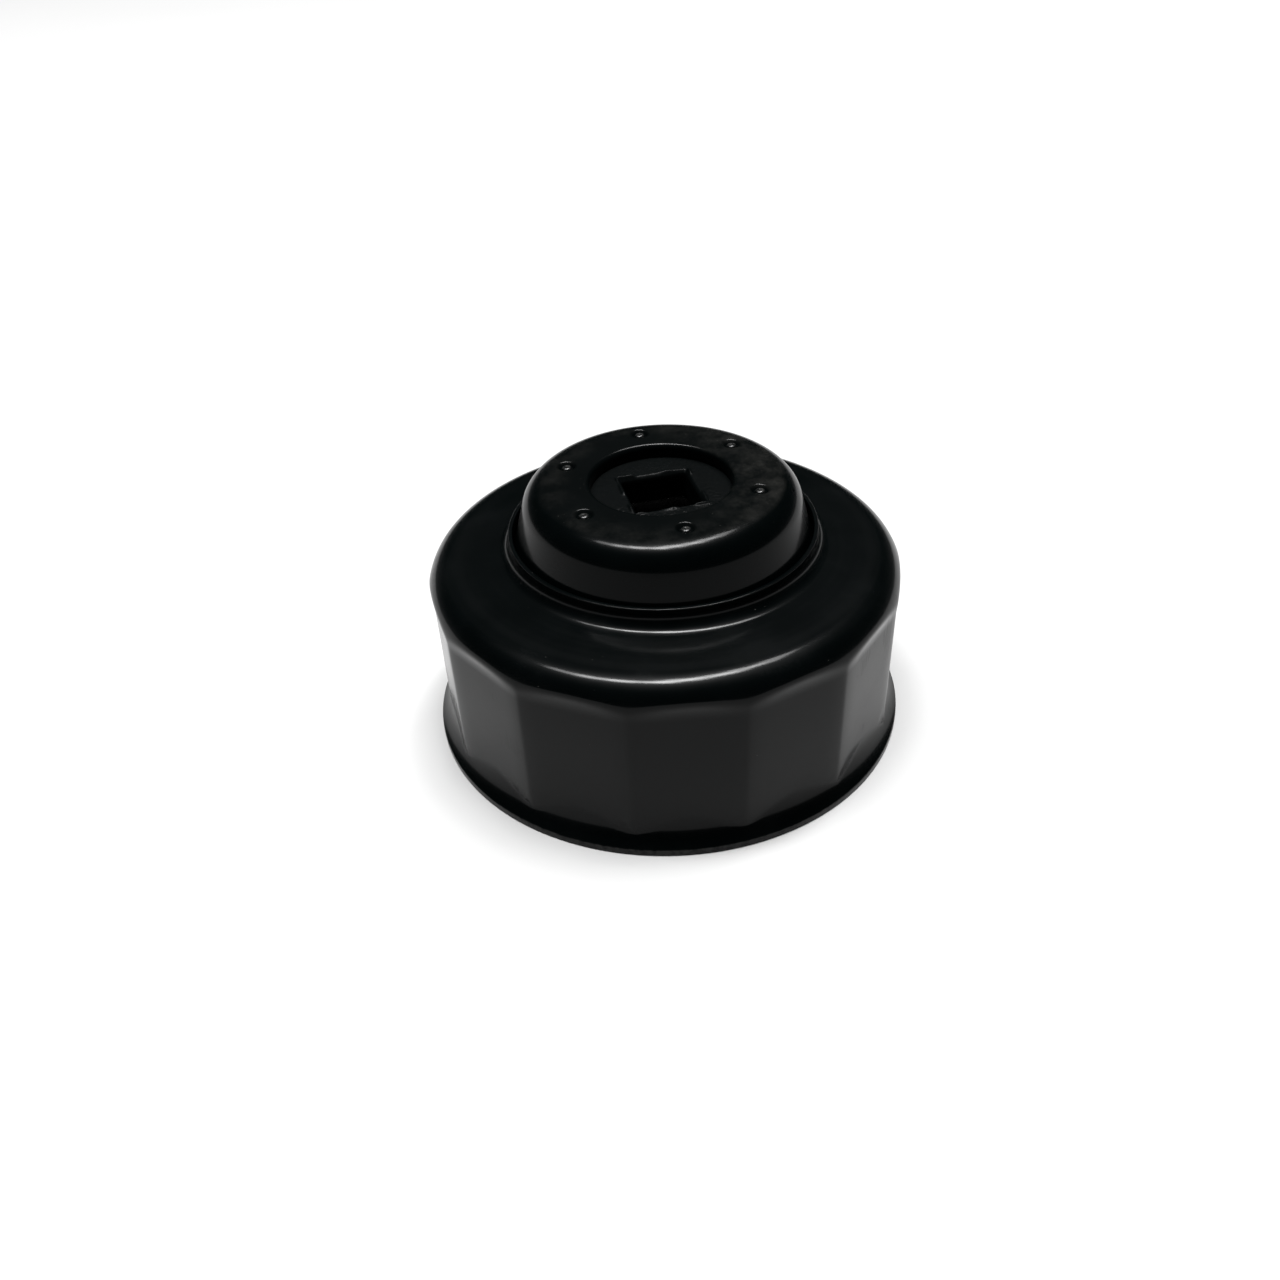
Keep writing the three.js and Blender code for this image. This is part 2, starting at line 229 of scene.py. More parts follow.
# ---------------------------------------------------------------------------- turning profiles


def flat_columns(per_flat):
    """Angles round the axis, closer together near the corners between flats."""
    angles = []
    for flat in range(FLAT_COUNT):
        for i in range(per_flat):
            u = 2 * i / per_flat - 1
            v = math.sin(u * math.pi * 0.44) / math.sin(math.pi * 0.44)
            angles.append(CORNER_PHASE + PITCH * (flat + (v + 1) / 2))
    return angles


def even_columns(count):
    return [2 * math.pi * i / count for i in range(count)]


def finish_mesh(name, verts, faces):
    mesh = bpy.data.meshes.new(name)
    mesh.from_pydata([tuple(v) for v in verts], [], faces)
    mesh.update()
    mesh.polygons.foreach_set("use_smooth", [True] * len(mesh.polygons))
    piece = bpy.data.objects.new(name, mesh)
    bpy.context.collection.objects.link(piece)
    weigh = piece.modifiers.new("even_shading", "WEIGHTED_NORMAL")
    weigh.keep_sharp = True
    return piece


def ring_faces(columns, rows):
    faces = []
    for i in range(columns):
        k = (i + 1) % columns
        for j in range(rows):
            n = (j + 1) % rows
            faces.append((i * rows + j, k * rows + j, k * rows + n, i * rows + n))
    return faces


def turn(name, profile, columns, shape):
    """A closed ring: a loop of points turned round the axis, each moved by shape at each angle."""
    verts = []
    for angle in columns:
        for place in profile:
            radius, height = shape(place, angle)
            verts.append(Vector((radius * math.cos(angle), radius * math.sin(angle), height)))
    return finish_mesh(name, verts, ring_faces(len(columns), len(profile)))


def hold(piece, node, finish):
    """Hangs a piece on the wrench's one body, in the place of its frame node."""
    piece.data.materials.append(finish)
    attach(piece, "root")
    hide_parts(node)


# ---------------------------------------------------------------------------- cup


ON_SKIRT = -1.0  # stands for the skirt, whose radius changes round the axis


def cup_profile():
    """Loop of the cup's section. A point at ON_SKIRT plus an inset gets its radius from the skirt."""
    lip_land = Vector((LIP_RADIUS - LIP_LAND, 0))
    lip_low = Vector((LIP_RADIUS, 0))
    lip_high = Vector((LIP_RADIUS, LIP_EDGE))
    rim_in = Vector((COLLAR_INSIDE, COLLAR_TOP))
    collar_low = COLLAR_CENTRE + polar(COLLAR_FOOT, math.pi + COLLAR_LEAN)
    foot_in = FOOT_CENTRE + Vector((-FOOT_FILLET - SHEET, 0))
    start = math.asin((FADE_TOP - SHOULDER_CENTRE.y) / SHOULDER_FILLET)
    start_in = math.asin((FADE_TOP - SHOULDER_CENTRE.y) / (SHOULDER_FILLET - SHEET))
    foot_start = math.pi + LEDGE_NORMAL
    above_lip = LIP_EDGE + 0.15 * MM
    outer = ladder(above_lip, OUTER_FLARE_TOP + 0.3 * MM, 20)
    outer += ladder(OUTER_FLARE_TOP + 0.3 * MM, FADE_BOTTOM, 16)[1:]
    outer += ladder(FADE_BOTTOM, FADE_TOP, 12)[1:-1]
    inner = ladder(FADE_TOP, FADE_BOTTOM, 8)[1:]
    inner += ladder(FADE_BOTTOM, INNER_FLARE_TOP + 0.3 * MM, 8)[1:]
    inner += ladder(INNER_FLARE_TOP + 0.3 * MM, 0.15 * MM, 10)[1:]
    first_outer = Vector((skirt_radius(above_lip, 0, 0), above_lip))
    return [
        *rounded(lip_land, lip_land + Vector((-0.3, 1)), lip_low, 0.08 * MM, 2),
        *line(lip_land, lip_low, 3),
        *rounded(lip_low, lip_land, lip_high, 0.16 * MM),
        *line(lip_low, lip_high, 4)[1:-1],
        *rounded(lip_high, lip_low, first_outer, 0.12 * MM),
        *[Vector((ON_SKIRT, height)) for height in outer],
        *arc(SHOULDER_CENTRE, SHOULDER_FILLET, start, LEDGE_NORMAL, 20),
        *line(LEDGE_EDGE, COLLAR_CENTRE + polar(COLLAR_FOOT, foot_start), 9),
        *arc(COLLAR_CENTRE, COLLAR_FOOT, foot_start, math.pi + COLLAR_LEAN, 16),
        *line(collar_low, RIM_OUT, 6),
        *rounded(RIM_OUT, collar_low, rim_in, 0.14 * MM),
        *rounded(rim_in, RIM_OUT, foot_in, 0.12 * MM, 3),
        *line(rim_in, foot_in, 3),
        *arc(FOOT_CENTRE, FOOT_FILLET + SHEET, math.pi, foot_start, 12),
        *line(FOOT_CENTRE + polar(FOOT_FILLET + SHEET, foot_start),
              SHOULDER_CENTRE + polar(SHOULDER_FILLET - SHEET, LEDGE_NORMAL), 5),
        *arc(SHOULDER_CENTRE, SHOULDER_FILLET - SHEET, LEDGE_NORMAL, start_in, 12),
        *[Vector((ON_SKIRT + SHEET, height)) for height in inner],
    ]


random.seed(7)
CREASES = [random.uniform(0.1, 1.0) for number in range(FLAT_COUNT)]
CREASE_TOP = Vector((-1.5, 5.9)) * MM
CREASE_END = Vector((0.1, 2.6)) * MM
CREASE_DEPTH = 0.13 * MM
CREASE_WIDTH = 0.24 * MM
CREASE_REACH = 8 * MM


def crease(angle, height):
    """Depth of the small fold that the press leaves beside a corner's lower end, with its raised side."""
    turns = (angle - CORNER_PHASE) / PITCH
    corner = round(turns)
    here = Vector(((turns - corner) * PITCH * SHOULDER_RADIUS, height))
    run = CREASE_END - CREASE_TOP
    share = min(1.0, max(0.0, (here - CREASE_TOP).dot(run) / run.length_squared))
    bow = Vector((-0.35, -0.2)) * MM * 4 * share * (1 - share)
    away = here - CREASE_TOP - run * share - bow
    side = away.x / CREASE_WIDTH
    fold = math.exp(-side ** 2) - 0.6 * math.exp(-(side + 1.7) ** 2)
    ends = math.exp(-(away.y / CREASE_WIDTH) ** 2) * math.sin(math.pi * (0.15 + 0.7 * share))
    return CREASE_DEPTH * CREASES[corner % FLAT_COUNT] * fold * ends


def cup_shape(place, angle):
    height = place.y
    radius = place.x
    if radius < 0:
        radius = skirt_radius(height, angle, radius - ON_SKIRT)
        if place.x == ON_SKIRT and height < CREASE_REACH:
            radius -= crease(angle, height)
    at = Vector((radius * math.cos(angle), radius * math.sin(angle), height))
    sway = noise.noise(at / (9 * MM)) * SWAY
    on_ledge = smooth_step(FADE_TOP, SHOULDER_HEIGHT, height)
    calm = smooth_step(0, 3 * MM, height) * smooth_step(0, 2 * MM, COLLAR_TOP - height)
    radius -= abs(sway) * calm * (1 - on_ledge)
    return radius, height + sway * calm * on_ledge * 0.5


# ---------------------------------------------------------------------------- crown


def pit_places():
    return [polar(RIVET_CIRCLE, RIVET_PHASE + 2 * math.pi * i / RIVET_COUNT) for i in range(RIVET_COUNT)]


PITS = pit_places()


def crown_profile():
    """Loop of the crown's section, from the recess down its inside, round the flange and back up."""
    wall_start = math.pi + CROWN_DRAFT
    edge_centre = Vector((RECESS_RADIUS + RECESS_EDGE, CROWN_TOP - RECESS_EDGE))
    foot_start = math.pi + LEDGE_NORMAL
    flange_low = Vector((FLANGE_RADIUS, ledge_height(FLANGE_RADIUS, FLANGE_DEPTH + CROWN_SHEET)))
    flange_high = Vector((FLANGE_RADIUS, ledge_height(FLANGE_RADIUS, FLANGE_DEPTH)))
    wall_low = BEND_CENTRE + polar(BEND, wall_start)
    wall_high = CROWN_CENTRE + polar(CROWN_FILLET, CROWN_DRAFT)
    inner_low = BEND_CENTRE + polar(BEND + CROWN_SHEET, foot_start)
    inner_top = CROWN_CENTRE + Vector((0, CROWN_FILLET - CROWN_SHEET))
    recess_low = Vector((RECESS_RADIUS, CROWN_TOP - CROWN_SHEET))
    recess_high = edge_centre + Vector((-RECESS_EDGE, 0))
    return [
        *rounded(recess_low, recess_high, inner_top, 0.1 * MM, 2),
        *line(recess_low, inner_top, 4),
        *arc(CROWN_CENTRE, CROWN_FILLET - CROWN_SHEET, math.pi / 2, CROWN_DRAFT, 10),
        *arc(BEND_CENTRE, BEND + CROWN_SHEET, wall_start, foot_start, 10),
        *line(inner_low, flange_low, 4),
        *rounded(flange_low, inner_low, flange_high, 0.15 * MM, 3),
        *rounded(flange_high, flange_low, BEND_CENTRE + polar(BEND, foot_start), 0.15 * MM, 3),
        *arc(BEND_CENTRE, BEND, foot_start, wall_start, 10),
        *line(wall_low, wall_high, 8),
        *arc(CROWN_CENTRE, CROWN_FILLET, CROWN_DRAFT, math.pi / 2, 28),
        *line(CROWN_CENTRE + Vector((0, CROWN_FILLET)), edge_centre + Vector((0, RECESS_EDGE)), 40),
        *arc(edge_centre, RECESS_EDGE, math.pi / 2, math.pi, 8),
        *line(recess_high, recess_low, 4),
    ]


def crown_shape(place, angle):
    radius = place.x
    height = place.y
    at = polar(radius, angle)
    if height > CROWN_TOP - 0.01 * MM:
        off = min((at - pit).length for pit in PITS)
        height -= PIT_DEPTH * (1 - smooth_step(*PIT_EDGE, off))
    sway = abs(noise.noise(Vector((at.x, at.y, height)) / (8 * MM))) * SWAY
    if height > COLLAR_TOP:
        height -= sway
    return radius, height


# ---------------------------------------------------------------------------- drive plate


def square_radius(half, angle):
    """Distance from the axis to the outline of a square with slightly rounded corners."""
    u = abs(math.cos(angle))
    v = abs(math.sin(angle))
    big = max(u, v)
    small = min(u, v)
    inner = half - SQUARE_CORNER
    if half / big * small <= inner:
        return half / big
    reach = inner * (u + v)
    return reach + math.sqrt(max(0.0, reach ** 2 - (2 * inner ** 2 - SQUARE_CORNER ** 2)))


def plate_profile():
    """Loop of the plate's section: share of the square outline, radius or half the square, height."""
    half = SQUARE / 2
    blend_radius = RECESS_RADIUS - 1.2 * MM
    edge = CROWN_FILLET - CROWN_SHEET - SEAT_GAP
    rows = []
    for i in range(9):
        rows.append((1 - i / 8, half + i / 8 * (blend_radius - half), PLATE_BOTTOM))
    for i in range(1, 6):
        rows.append((0, blend_radius + i / 6 * (PLATE_RADIUS - blend_radius), PLATE_BOTTOM))
    corner = Vector((PLATE_RADIUS, PLATE_BOTTOM))
    for place in rounded(corner, corner - Vector((1, 0)), corner + Vector((0, 1)), 0.3 * MM):
        rows.append((0, place.x, place.y))
    for place in arc((PLATE_RADIUS - edge, PLATE_TOP - edge), edge, 0, math.pi / 2, 8):
        rows.append((0, place.x, place.y))
    for i in range(1, 12):
        rows.append((0, PLATE_RADIUS - edge + i / 12 * (blend_radius - PLATE_RADIUS + edge), PLATE_TOP))
    wide = half + LEAD_IN
    for i in range(25):
        rows.append((i / 24, blend_radius + i / 24 * (wide - blend_radius), PLATE_TOP))
    for i in range(1, 6):
        t = i / 6
        rows.append((1, wide - t * LEAD_IN, PLATE_TOP - t ** 2 * LEAD_IN))
    for i in range(8):
        rows.append((1, half, PLATE_TOP - LEAD_IN - i / 8 * (PLATE_TOP - LEAD_IN - PLATE_BOTTOM)))
    return rows


def plate_shape(place, angle):
    share, radius, height = place
    if share > 0:
        wanted = square_radius(radius, angle)
        radius = radius * (1 - share) + wanted * share
    at = polar(radius, angle)
    if height > PLATE_TOP - 0.02 * MM and radius < RECESS_RADIUS:
        lumps = abs(noise.fractal(Vector((at.x, at.y, 0)) / (0.9 * MM), 1.0, 2.0, 3))
        front = smooth_step(0, 5 * MM, -at.y) * smooth_step(9.5 * MM, 6 * MM, abs(at.x))
        height -= lumps * (0.02 + 0.09 * front) * MM
    outline = square_radius(SQUARE / 2 + LEAD_IN, angle)
    beside = radius - outline
    if height > PLATE_TOP - 1.0 * MM and abs(beside) < 0.9 * MM and radius < RECESS_RADIUS:
        ragged = smooth_step(-0.15, 0.35, noise.noise(Vector((at.x, at.y, 3 * MM)) / (2.6 * MM)))
        height += BURR_HEIGHT * ragged * math.exp(-(beside / (0.28 * MM)) ** 2)
    if share == 1 and height < PLATE_TOP - 0.02 * MM:
        radius -= abs(noise.noise(Vector((at.x, at.y, height)) / (0.8 * MM))) * 0.03 * MM
    return radius, height


# ---------------------------------------------------------------------------- rivets and welds


def set_rivet(name, place):
    """A rivet: domed head under the plate, shank, and a thin tip set level in the crown's pit."""
    seat = PLATE_BOTTOM
    tip_top = CROWN_TOP - TIP_DROP
    profile = []
    for i in range(1, 9):
        angle = math.pi / 2 * i / 8
        profile.append(Vector((HEAD_RADIUS * math.sin(angle), seat - HEAD_HEIGHT * math.cos(angle))))
    profile.append(Vector((HEAD_RADIUS, seat)))
    profile.append(Vector((SHANK_RADIUS, seat + 0.02 * MM)))
    profile.append(Vector((SHANK_RADIUS, PLATE_TOP - 0.2 * MM)))
    profile.append(Vector((TIP_RADIUS + 0.15 * MM, PLATE_TOP)))
    profile.append(Vector((TIP_RADIUS + 0.12 * MM, CROWN_TOP - PIT_DEPTH)))
    for i in range(6):
        angle = math.pi / 2 * i / 6
        fall = TIP_DOME * (1 - math.sin(angle))
        profile.append(Vector((TIP_RADIUS * math.cos(angle) ** 0.7, tip_top - fall)))
    profile.append(Vector((TIP_RADIUS * 0.3, tip_top - 0.06 * MM)))
    sides = 40
    verts = []
    for i in range(sides):
        angle = 2 * math.pi * i / sides
        for spot in profile:
            at = place + polar(spot.x, angle)
            verts.append(Vector((at.x, at.y, spot.y)))
    rows = len(profile)
    faces = [face for face in ring_faces(sides, rows) if abs(face[0] - face[3]) == 1]
    base = len(verts)
    verts.append(Vector((place.x, place.y, seat - HEAD_HEIGHT)))
    verts.append(Vector((place.x, place.y, tip_top - 0.08 * MM)))
    for i in range(sides):
        k = (i + 1) % sides
        faces.append((k * rows, i * rows, base))
        faces.append((i * rows + rows - 1, k * rows + rows - 1, base + 1))
    return finish_mesh(name, verts, faces)


def weld_bead(name, middle):
    """A short bead in the corner between the flange and the ledge, with the ripples of its passes."""
    rows = 12
    steps = 72
    verts = []
    for i in range(steps + 1):
        t = i / steps
        angle = middle + (t - 0.5) * WELD_SWEEP
        ends = math.sqrt(max(0.0, 1 - (2 * t - 1) ** 8))
        ripple = 0.9 + 0.1 * math.sin(t * WELD_RIPPLES * 2 * math.pi)
        leg = max(0.02 * MM, WELD_LEG * ends * ripple)
        root_radius = FLANGE_RADIUS - 0.05 * MM
        root = Vector((root_radius, ledge_height(root_radius, SHEET) + 0.05 * MM))
        loop = [root]
        for j in range(rows - 1):
            across = (math.pi / 2 - LEDGE_SLOPE) * j / (rows - 2)
            swell = 1 - 0.132 * math.sin(2 * across)
            loop.append(root + polar(leg * swell, across - math.pi / 2))
        for spot in loop:
            verts.append(Vector((spot.x * math.cos(angle), spot.x * math.sin(angle), spot.y)))
    faces = []
    for i in range(steps):
        for j in range(rows):
            n = (j + 1) % rows
            faces.append((i * rows + j, i * rows + n, (i + 1) * rows + n, (i + 1) * rows + j))
    faces.append(tuple(reversed(range(rows))))
    faces.append(tuple(steps * rows + j for j in range(rows)))
    return finish_mesh(name, verts, faces)


# ---------------------------------------------------------------------------- surfaces


class Wire:
    """A number that flows between shader nodes, with ordinary arithmetic."""

    def __init__(self, surface, socket):
        self.surface = surface
        self.socket = socket

    def __add__(self, other):
        return self.surface.figure("ADD", self, other)

    def __radd__(self, other):
        return self.surface.figure("ADD", other, self)

    def __sub__(self, other):
        return self.surface.figure("SUBTRACT", self, other)

    def __rsub__(self, other):
        return self.surface.figure("SUBTRACT", other, self)

    def __mul__(self, other):
        return self.surface.figure("MULTIPLY", self, other)

    def __rmul__(self, other):
        return self.surface.figure("MULTIPLY", other, self)


class Surface:
    """One painted finish: its shader nodes, and the place on the wrench that they read."""

    def __init__(self, name):
        self.material = bpy.data.materials.new(name)
        self.material.use_nodes = True
        self.tree = self.material.node_tree
        self.tree.nodes.clear()
        self.place = self.node("ShaderNodeTexCoord", {}, {}, "Object")

    def node(self, kind, settings, inputs, output=0):
        """Adds a node: its settings first, then the values or links of its sockets."""
        made = self.tree.nodes.new(kind)
        for key, value in settings.items():
            setattr(made, key, value)
        for key, value in inputs.items():
            if isinstance(value, Wire):
                self.tree.links.new(value.socket, made.inputs[key])
            else:
                made.inputs[key].default_value = value
        return Wire(self, made.outputs[output]) if made.outputs else made

    def figure(self, operation, first, second):
        return self.node("ShaderNodeMath", {"operation": operation}, {0: first, 1: second})

    def blend(self, mask, first, second):
        return self.node("ShaderNodeMix", {"data_type": "RGBA"}, {0: mask, 6: first, 7: second}, 2)

    def rise(self, value, low, high):
        """0 below low, 1 above high, and a soft step between them."""
        settings = {"interpolation_type": "SMOOTHSTEP"}
        return self.node("ShaderNodeMapRange", settings, {"Value": value, 1: low, 2: high})

    def cloud(self, size, detail=2.0, roughness=0.5, stretch=(1, 1, 1)):
        """Soft noise whose lumps are about size across."""
        scaled = self.node("ShaderNodeMapping", {}, {"Vector": self.place, "Scale": stretch})
        inputs = {"Vector": scaled, "Scale": 1 / size, "Detail": detail, "Roughness": roughness}
        return self.node("ShaderNodeTexNoise", {}, inputs)

    def specks(self, spacing, size):
        """Small round dots, about spacing apart."""
        inputs = {"Vector": self.place, "Scale": 1 / spacing}
        near = self.node("ShaderNodeTexVoronoi", {}, inputs)
        return 1 - self.rise(near, 0.5 * size / spacing, size / spacing)

    def axis(self, name):
        return self.node("ShaderNodeSeparateXYZ", {}, {"Vector": self.place}, name)

    def from_axis(self):
        """Distance from the wrench's axis."""
        flat = self.node("ShaderNodeVectorMath", {"operation": "MULTIPLY"},
                         {0: self.place, 1: (1, 1, 0)})
        return self.node("ShaderNodeVectorMath", {"operation": "LENGTH"}, {0: flat}, "Value")

    def paint(self, colour, roughness, height, coat, gloss):
        """The painted shader: uniform coat and gloss, with colour, roughness and relief that vary."""
        bump = self.node("ShaderNodeBump", {}, {"Height": height, "Distance": 1.0, "Strength": 1.0})
        shader = self.node("ShaderNodeBsdfPrincipled", {}, {
            "Base Color": colour,
            "Roughness": roughness,
            "Normal": bump,
            "Specular IOR Level": gloss,
            "Coat Weight": coat,
            "Coat IOR": COAT_IOR,
            "Coat Roughness": COAT_ROUGHNESS,
        })
        self.node("ShaderNodeOutputMaterial", {}, {"Surface": shader})
        return self.material


FLOOR_REACH = 3.0
COAT_IOR = 1.24
COAT_ROUGHNESS = 0.12
BLACK = (0.0001, 0.0004, 0.0004, 1)
WORN_BLACK = (0.0007, 0.0012, 0.0013, 1)
# Grey of dust; on the crown's top it also serves as the colour of painted sheen.
DUST_AND_SHEEN = (0.085, 0.082, 0.075, 1)
STEEL = (0.22, 0.215, 0.205, 1)


def cup_enamel():
    """Gloss black enamel over pressed steel: fine orange peel, nibs, dust, a haze in rings on the ledge."""
    s = Surface("cup_enamel_gloss")
    height = s.axis("Z")
    patches = s.cloud(9 * MM, 4)
    nibs = s.specks(3.4 * MM, 0.09 * MM)
    dust = s.specks(2.1 * MM, 0.07 * MM) * s.rise(s.cloud(14 * MM, 3), 0.5, 0.62)
    foot = s.rise(height, SHOULDER_HEIGHT + 0.4 * MM, SHOULDER_HEIGHT + 1.2 * MM)
    dust = dust + s.specks(1.0 * MM, 0.09 * MM) * foot * s.rise(s.cloud(5 * MM, 3), 0.46, 0.56)
    section = s.node("ShaderNodeCombineXYZ", {}, {"X": s.from_axis(), "Y": height})
    rings = s.node("ShaderNodeTexNoise", {}, {"Vector": section, "Scale": 1 / (1.6 * MM), "Detail": 4.0})
    ledge = s.rise(height, SHOULDER_HEIGHT - 1.5 * MM, SHOULDER_HEIGHT - 0.2 * MM)
    haze = ledge * s.rise(rings * 0.6 + patches * 0.4, 0.42, 0.66)
    hairs = s.cloud(0.35 * MM, 2, 0.5, (1, 1, 0.05))
    scuff = s.rise(hairs * s.rise(patches, 0.45, 0.7), 0.36, 0.5) * 0.35
    lip = s.rise(LIP_EDGE + 0.12 * MM - height, 0, 0.18 * MM)
    lip = lip * s.rise(s.cloud(1.1 * MM, 4, 0.7), 0.36, 0.6)
    base = s.blend(patches, BLACK, WORN_BLACK)
    base = s.blend(dust * 0.6, base, DUST_AND_SHEEN)
    base = s.blend(lip * 0.08, base, STEEL)
    roughness = 0.26 + patches * 0.12 + scuff * 0.2 + lip * 0.2 + haze * 0.12
    peel = s.cloud(1.7 * MM, 1) * (0.004 * MM) + s.cloud(0.5 * MM, 1) * (0.0006 * MM)
    relief = peel + nibs * (0.02 * MM) + hairs * (0.0006 * MM)
    return s.paint(base, roughness, relief, 0.6, 0.03)


def crown_enamel():
    """The crown's enamel: duller on top, dusty towards one side, with painted sheen lightening the top,
    most near its outer ring.
    """
    s = Surface("crown_enamel_handled")
    height = s.axis("Z")
    patches = s.cloud(7 * MM, 4)
    top = s.rise(height, CROWN_TOP - 0.5 * MM, CROWN_TOP - 0.1 * MM)
    side = s.rise(s.axis("X") + s.cloud(6 * MM, 4) * (16 * MM), 6 * MM, 26 * MM)
    smear = s.rise(s.cloud(2.6 * MM, 8, 0.72), 0.35, 0.85)
    # Scuffed patches near the top's outer ring: they roughen the paint, and in the colour below they also
    # carry painted sheen.
    scuff_ring_and_sheen = s.rise(s.cloud(5 * MM, 6, 0.7), 0.38, 0.72) * s.rise(s.from_axis(), 11.8 * MM, 15.5 * MM)
    dusty = top * side * smear
    nibs = s.specks(2.6 * MM, 0.08 * MM)
    dust = s.specks(1.3 * MM, 0.07 * MM) * s.rise(s.cloud(6 * MM, 3), 0.46, 0.6)
    grit = s.specks(0.45 * MM, 0.05 * MM) * top * side
    base = s.blend(patches, BLACK, WORN_BLACK)
    # Top colour: dust and grit, plus painted sheen, which is an even lift over the whole top face (top *
    # 0.004) and a stronger lift in the outer-ring patches.
    base = s.blend(dusty * 0.11 + top * scuff_ring_and_sheen * 0.04 + top * 0.004 + dust * 0.35 + grit * 0.2, base, DUST_AND_SHEEN)
    roughness = 0.24 + patches * 0.1 + dusty * 0.2 + top * scuff_ring_and_sheen * 0.16
    peel = s.cloud(1.5 * MM, 1) * (0.004 * MM) + s.cloud(0.4 * MM, 1) * (0.0008 * MM)
    scrapes = s.cloud(0.5 * MM, 3, 0.6, (0.15, 1, 1)) * top * scuff_ring_and_sheen
    relief = peel + nibs * (0.018 * MM) + dusty * (0.003 * MM) + scrapes * (0.003 * MM)
    return s.paint(base, roughness, relief, 0.42, 0.02)


def plate_enamel():
    """Thin, rough paint on the plate, with small chips in front of the square."""
    s = Surface("plate_enamel_rough")
    height = s.axis("Z")
    grain = s.cloud(0.6 * MM, 5, 0.65)
    patches = s.cloud(4 * MM, 3)
    chips = s.rise(s.cloud(0.9 * MM, 4, 0.7), 0.63, 0.7) * s.rise(0 - s.axis("Y"), 2 * MM, 7 * MM)
    chips = chips * s.rise(height, PLATE_TOP - 0.4 * MM, PLATE_TOP - 0.2 * MM)
    base = s.blend(patches, BLACK, WORN_BLACK)
    base = s.blend(chips * 0.22, base, STEEL)
    roughness = 0.36 + grain * 0.25 + chips * 0.15
    relief = grain * (0.02 * MM) + s.cloud(2.2 * MM, 2) * (0.02 * MM)
    return s.paint(base, roughness, relief, 0.06, 0.05)


def rivet_enamel():
    """Paint on the set rivets, rubbed a little on their tips."""
    s = Surface("rivet_enamel_rubbed")
    rubbed = s.rise(s.axis("Z"), CROWN_TOP - 0.3 * MM, CROWN_TOP - 0.1 * MM)
    rubbed = rubbed * s.rise(s.cloud(0.5 * MM, 4, 0.7), 0.45, 0.6)
    patches = s.cloud(1.2 * MM, 3)
    base = s.blend(patches, BLACK, WORN_BLACK)
    base = s.blend(rubbed * 0.1, base, STEEL)
    roughness = 0.26 + patches * 0.14
    relief = s.cloud(0.6 * MM, 2) * (0.008 * MM)
    return s.paint(base, roughness, relief, 0.8, 0.2)


def weld_enamel():
    """Paint over weld beads: grainy scale and small pores under it."""
    s = Surface("weld_enamel_scaly")
    grain = s.cloud(0.35 * MM, 4, 0.65)
    pores = s.specks(0.9 * MM, 0.12 * MM)
    base = s.blend(grain, BLACK, WORN_BLACK)
    roughness = 0.34 + grain * 0.3
    relief = grain * (0.03 * MM) - pores * (0.03 * MM)
    return s.paint(base, roughness, relief, 0.4, 0.2)


def floor_white():
    """Matt white studio floor."""
    s = Surface("floor_white")
    shade = s.cloud(0.4, 2)
    base = s.blend(shade, (0.42, 0.42, 0.42, 1), (0.44, 0.44, 0.44, 1))
    shader = s.node("ShaderNodeBsdfPrincipled", {}, {
        "Base Color": base,
        "Roughness": 0.9,
        "Specular IOR Level": 0.1,
    })
    s.node("ShaderNodeOutputMaterial", {}, {"Surface": shader})
    return s.material


# ---------------------------------------------------------------------------- assembly

hold(turn("cup_pressing", cup_profile(), flat_columns(20), cup_shape),
     "cup_shell", cup_enamel())
hold(turn("crown_pressing", crown_profile(), even_columns(720), crown_shape),
     "crown_cap", crown_enamel())
hold(turn("drive_disc", plate_profile(), even_columns(720), plate_shape),
     "drive_plate", plate_enamel())

rivet_paint = rivet_enamel()
for number, pit in enumerate(PITS, 1):
    hold(set_rivet(f"set_rivet_{number}", pit), f"rivet_{number}", rivet_paint)

weld_paint = weld_enamel()
for number in range(1, WELD_COUNT + 1):
    middle = WELD_PHASE + 2 * math.pi * (number - 1) / WELD_COUNT
    hold(weld_bead(f"weld_bead_{number}", middle), f"flange_weld_{number}", weld_paint)


# ---------------------------------------------------------------------------- studio


def card(name, centre, direction, width, height, radiance):
    """A flat rectangular light that faces a direction, as bright as radiance."""
    data = bpy.data.lights.new(name, "AREA")
    data.shape = "RECTANGLE"
    data.size = width
    data.size_y = height
    data.energy = radiance * math.pi * width * height
    lamp = bpy.data.objects.new(name, data)
    bpy.context.collection.objects.link(lamp)
    lamp.rotation_mode = "QUATERNION"
    lamp.rotation_quaternion = Vector(direction).to_track_quat("-Z", "Y")
    lamp.location = centre
    return lamp


floor_mesh = bpy.data.meshes.new("studio_floor")
corners = [(x * FLOOR_REACH, y * FLOOR_REACH, 0) for x, y in ((-1, -1), (1, -1), (1, 1), (-1, 1))]
floor_mesh.from_pydata(corners, [], [(0, 1, 2, 3)])
floor = bpy.data.objects.new("studio_floor", floor_mesh)
bpy.context.collection.objects.link(floor)
floor.data.materials.append(floor_white())

PANEL_COUNT = 7
PANEL_HEIGHT = 3.0
PANEL_LENGTH = 0.38
PANEL_WIDTH = 0.8
STRIP_RADIANCE = 52
STRIP_CENTRE = Vector((0.075, 0.06))
STRIP_SPAN = 1.15
STRIP_DRIFT = 0.2
STRIP_BOW = 0.62
STRIP_FADE = 0.55
BACK_RADIANCE = 0.06
AIR_STRENGTH = 0.012

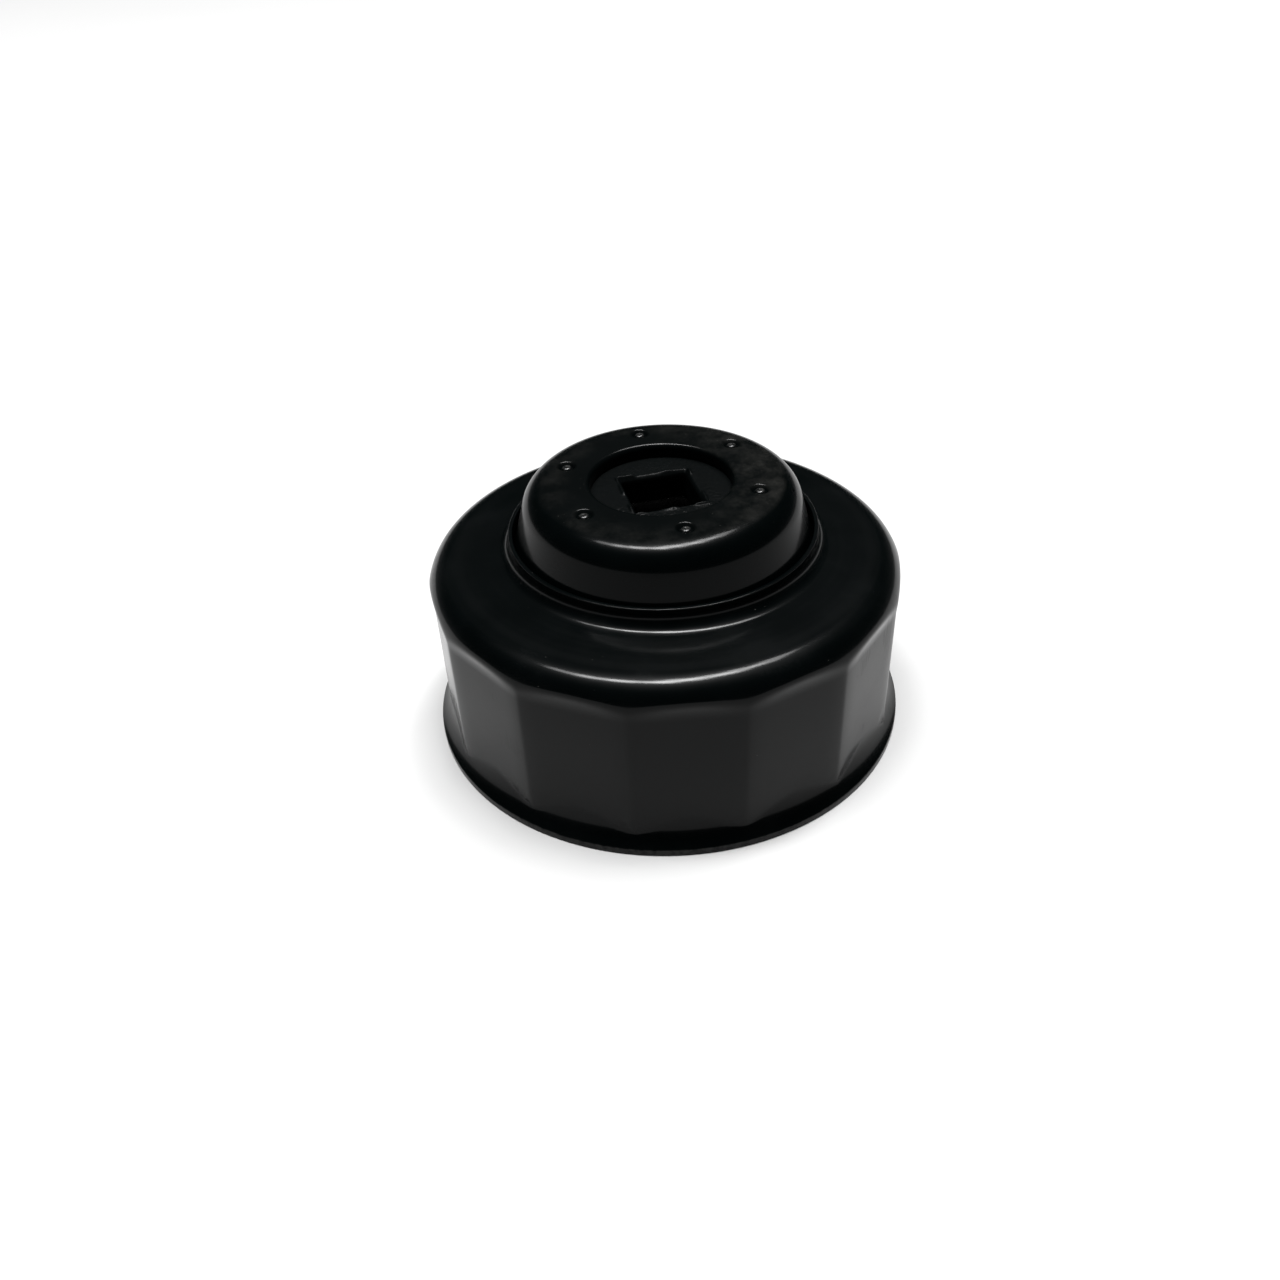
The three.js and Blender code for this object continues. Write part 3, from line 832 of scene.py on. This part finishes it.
# A bowed row of overhead panels, brightest in its middle.
for number in range(PANEL_COUNT):
    t = 2 * number / (PANEL_COUNT - 1) - 1
    place = STRIP_CENTRE + Vector((STRIP_SPAN * t, STRIP_DRIFT * t + STRIP_BOW * t ** 2))
    spot = Vector((place.x, place.y, PANEL_HEIGHT))
    fade = 1 - STRIP_FADE * t ** 2
    panel = card(f"overhead_panel_{number + 1}", spot, -spot, PANEL_LENGTH, PANEL_WIDTH,
                 STRIP_RADIANCE * fade)
    lean = math.atan2(STRIP_DRIFT + 2 * STRIP_BOW * t, STRIP_SPAN)
    panel.rotation_quaternion = Matrix.Rotation(lean, 3, "Z").to_quaternion() @ panel.rotation_quaternion
card("back_fill", (0.3, 2.2, 1.9), (-0.1, -1, -0.7), 3.4, 1.6, BACK_RADIANCE)

world = bpy.data.worlds.new("studio_air")
world.use_nodes = True
air = world.node_tree.nodes["Background"].inputs
air["Color"].default_value = (0.9, 1.0, 1.05, 1)
air["Strength"].default_value = AIR_STRENGTH
bpy.context.scene.world = world
bpy.context.scene.view_settings.view_transform = "Standard"

# ---------------------------------------------------------------------------- camera

CAMERA_AZIMUTH = math.radians(-12.4)
CAMERA_HEIGHT_ANGLE = math.radians(36.58)
CAMERA_ROLL = math.radians(-2.78)
CAMERA_DISTANCE = 174.4 * MM
AIM = Vector((-3.96, 0.87, 10.02)) * MM
LENS = 31.68
SENSOR_WIDTH = 36

side = Vector((math.cos(CAMERA_AZIMUTH), math.sin(CAMERA_AZIMUTH), 0))
back = Vector((
    math.sin(CAMERA_AZIMUTH) * math.cos(CAMERA_HEIGHT_ANGLE),
    -math.cos(CAMERA_AZIMUTH) * math.cos(CAMERA_HEIGHT_ANGLE),
    math.sin(CAMERA_HEIGHT_ANGLE),
))
up = back.cross(side)
right = side * math.cos(CAMERA_ROLL) + up * math.sin(CAMERA_ROLL)
top = up * math.cos(CAMERA_ROLL) - side * math.sin(CAMERA_ROLL)
camera_data = bpy.data.cameras.new("camera")
camera_data.lens = LENS
camera_data.sensor_width = SENSOR_WIDTH
camera_data.clip_start = 0.01
camera = bpy.data.objects.new("camera", camera_data)
bpy.context.collection.objects.link(camera)
facing = Matrix((right, top, back)).transposed().to_4x4()
camera.matrix_world = Matrix.Translation(AIM + back * CAMERA_DISTANCE) @ facing
bpy.context.scene.camera = camera
